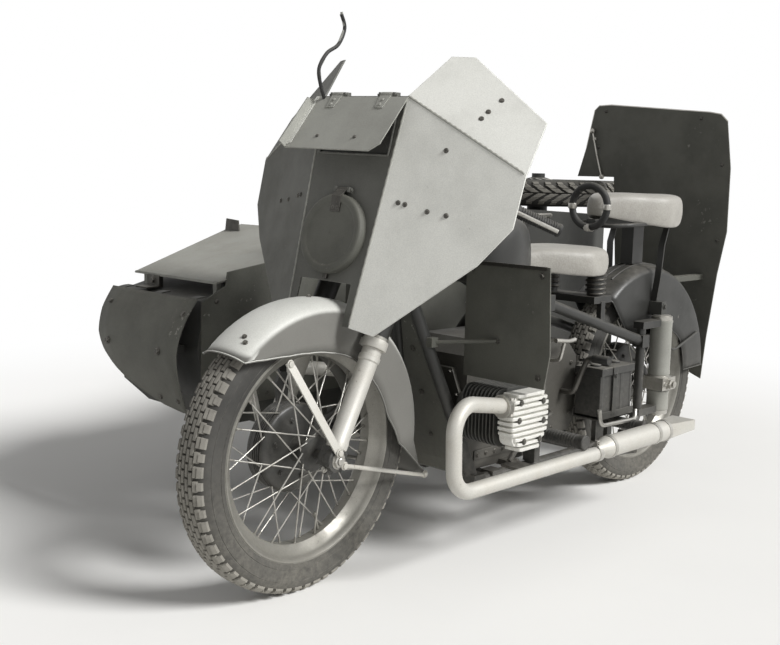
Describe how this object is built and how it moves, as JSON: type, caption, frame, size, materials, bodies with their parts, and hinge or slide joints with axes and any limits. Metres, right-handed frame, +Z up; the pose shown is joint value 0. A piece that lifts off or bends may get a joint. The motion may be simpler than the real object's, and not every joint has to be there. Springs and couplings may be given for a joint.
{
  "type": "sidecar motorcycle",
  "caption": "Sidecar motorcycle with folded armour plates around its fork, a sloping plate over the sidecar's nose, a tall plate behind the saddles and a spare wheel lying on the sidecar's boot",
  "frame": {"origin": "on the ground under the middle of the vehicle's box", "axes": "+X forward, +Y to the rider's left, +Z up; the fork stands turned 3.4 degrees to the left"},
  "size_m": [2.5602, 1.6012, 1.3714],
  "materials": {
    "field_paint": "matt field-grey paint, dusty, rubbed on edges",
    "plain_steel": "oiled dark steel with dust",
    "cast_alloy": "sand-cast alloy, oxidised and dusty",
    "pipe_steel": "heat-browned steel pipe",
    "saddle_rubber": "worn grey rubber, dusty",
    "black_rubber": "ribbed black rubber",
    "battery_case": "hard black case",
    "tyre": "dusty tyre rubber",
    "seat_cover": "dark waterproof seat cover"
  },
  "bodies": {
    "chassis": {"battery": "battery_case", "cylinder_left": "cast_alloy", "cylinder_right": "cast_alloy", "driver_saddle": "saddle_rubber", "engine": "cast_alloy", "engine_guard": "field_paint", "exhaust_left": "pipe_steel", "exhaust_right": "pipe_steel", "footrests": "black_rubber", "frame": "field_paint", "fuel_tank": "field_paint", "leg_shields": "field_paint", "pillion_saddle": "saddle_rubber", "plungers": "plain_steel", "rear_mudguard": "field_paint", "rear_plate": "field_paint", "saddle_irons": "field_paint", "sidecar_body": "field_paint", "sidecar_frame": "field_paint", "sidecar_mudguard": "field_paint", "sidecar_nose_plate": "field_paint", "sidecar_seat": "seat_cover", "sidecar_side_plate": "field_paint", "sidecar_struts": "field_paint", "sidecar_top_plate": "field_paint", "spare_mount": "field_paint", "spare_tyre": "tyre", "spare_wheel": "field_paint"},
    "steering": {"fork": "field_paint", "handlebar": "field_paint", "grips": "black_rubber", "front_mudguard": "field_paint", "shield_centre": "field_paint", "shield_left": "field_paint", "shield_right": "field_paint", "headlamp": "field_paint"},
    "vision_flap": {"vision_flap": "field_paint"},
    "lamp_cover": {"lamp_cover": "field_paint"},
    "front_wheel": {"front_tyre": "tyre", "front_wheel": "field_paint"},
    "rear_wheel": {"rear_tyre": "tyre", "rear_wheel": "field_paint"},
    "sidecar_wheel": {"sidecar_tyre": "tyre", "sidecar_wheel": "field_paint"}
  },
  "joints": [
    {"name": "steering_turn", "type": "hinge", "parent": "chassis", "child": "steering", "pos_m": [0.5687, 0.37144, 0.87802], "axis": [-0.454, 0, 0.891], "range_deg": [-38.4, 31.6]},
    {"name": "vision_flap_swing", "type": "hinge", "parent": "steering", "child": "vision_flap", "pos_m": [0.76939, 0.38989, 1.16813], "axis": [-0.0528, 0.9982, -0.0269], "range_deg": [-55, 25]},
    {"name": "lamp_cover_swing", "type": "hinge", "parent": "steering", "child": "lamp_cover", "pos_m": [0.82488, 0.38687, 0.94731], "axis": [0.0528, -0.9982, 0.0269], "range_deg": [0, 100]},
    {"name": "front_wheel_spin", "type": "hinge", "parent": "steering", "child": "front_wheel", "pos_m": [0.93975, 0.37658, 0.34031], "axis": [-0.0528, 0.9982, -0.0269], "continuous": true},
    {"name": "rear_wheel_spin", "type": "hinge", "parent": "chassis", "child": "rear_wheel", "pos_m": [-0.49012, 0.37144, 0.34038], "axis": [0, 1, 0], "continuous": true},
    {"name": "sidecar_wheel_spin", "type": "hinge", "parent": "chassis", "child": "sidecar_wheel", "pos_m": [-0.29012, -0.72856, 0.34038], "axis": [0, 1, 0], "continuous": true}
  ]
}
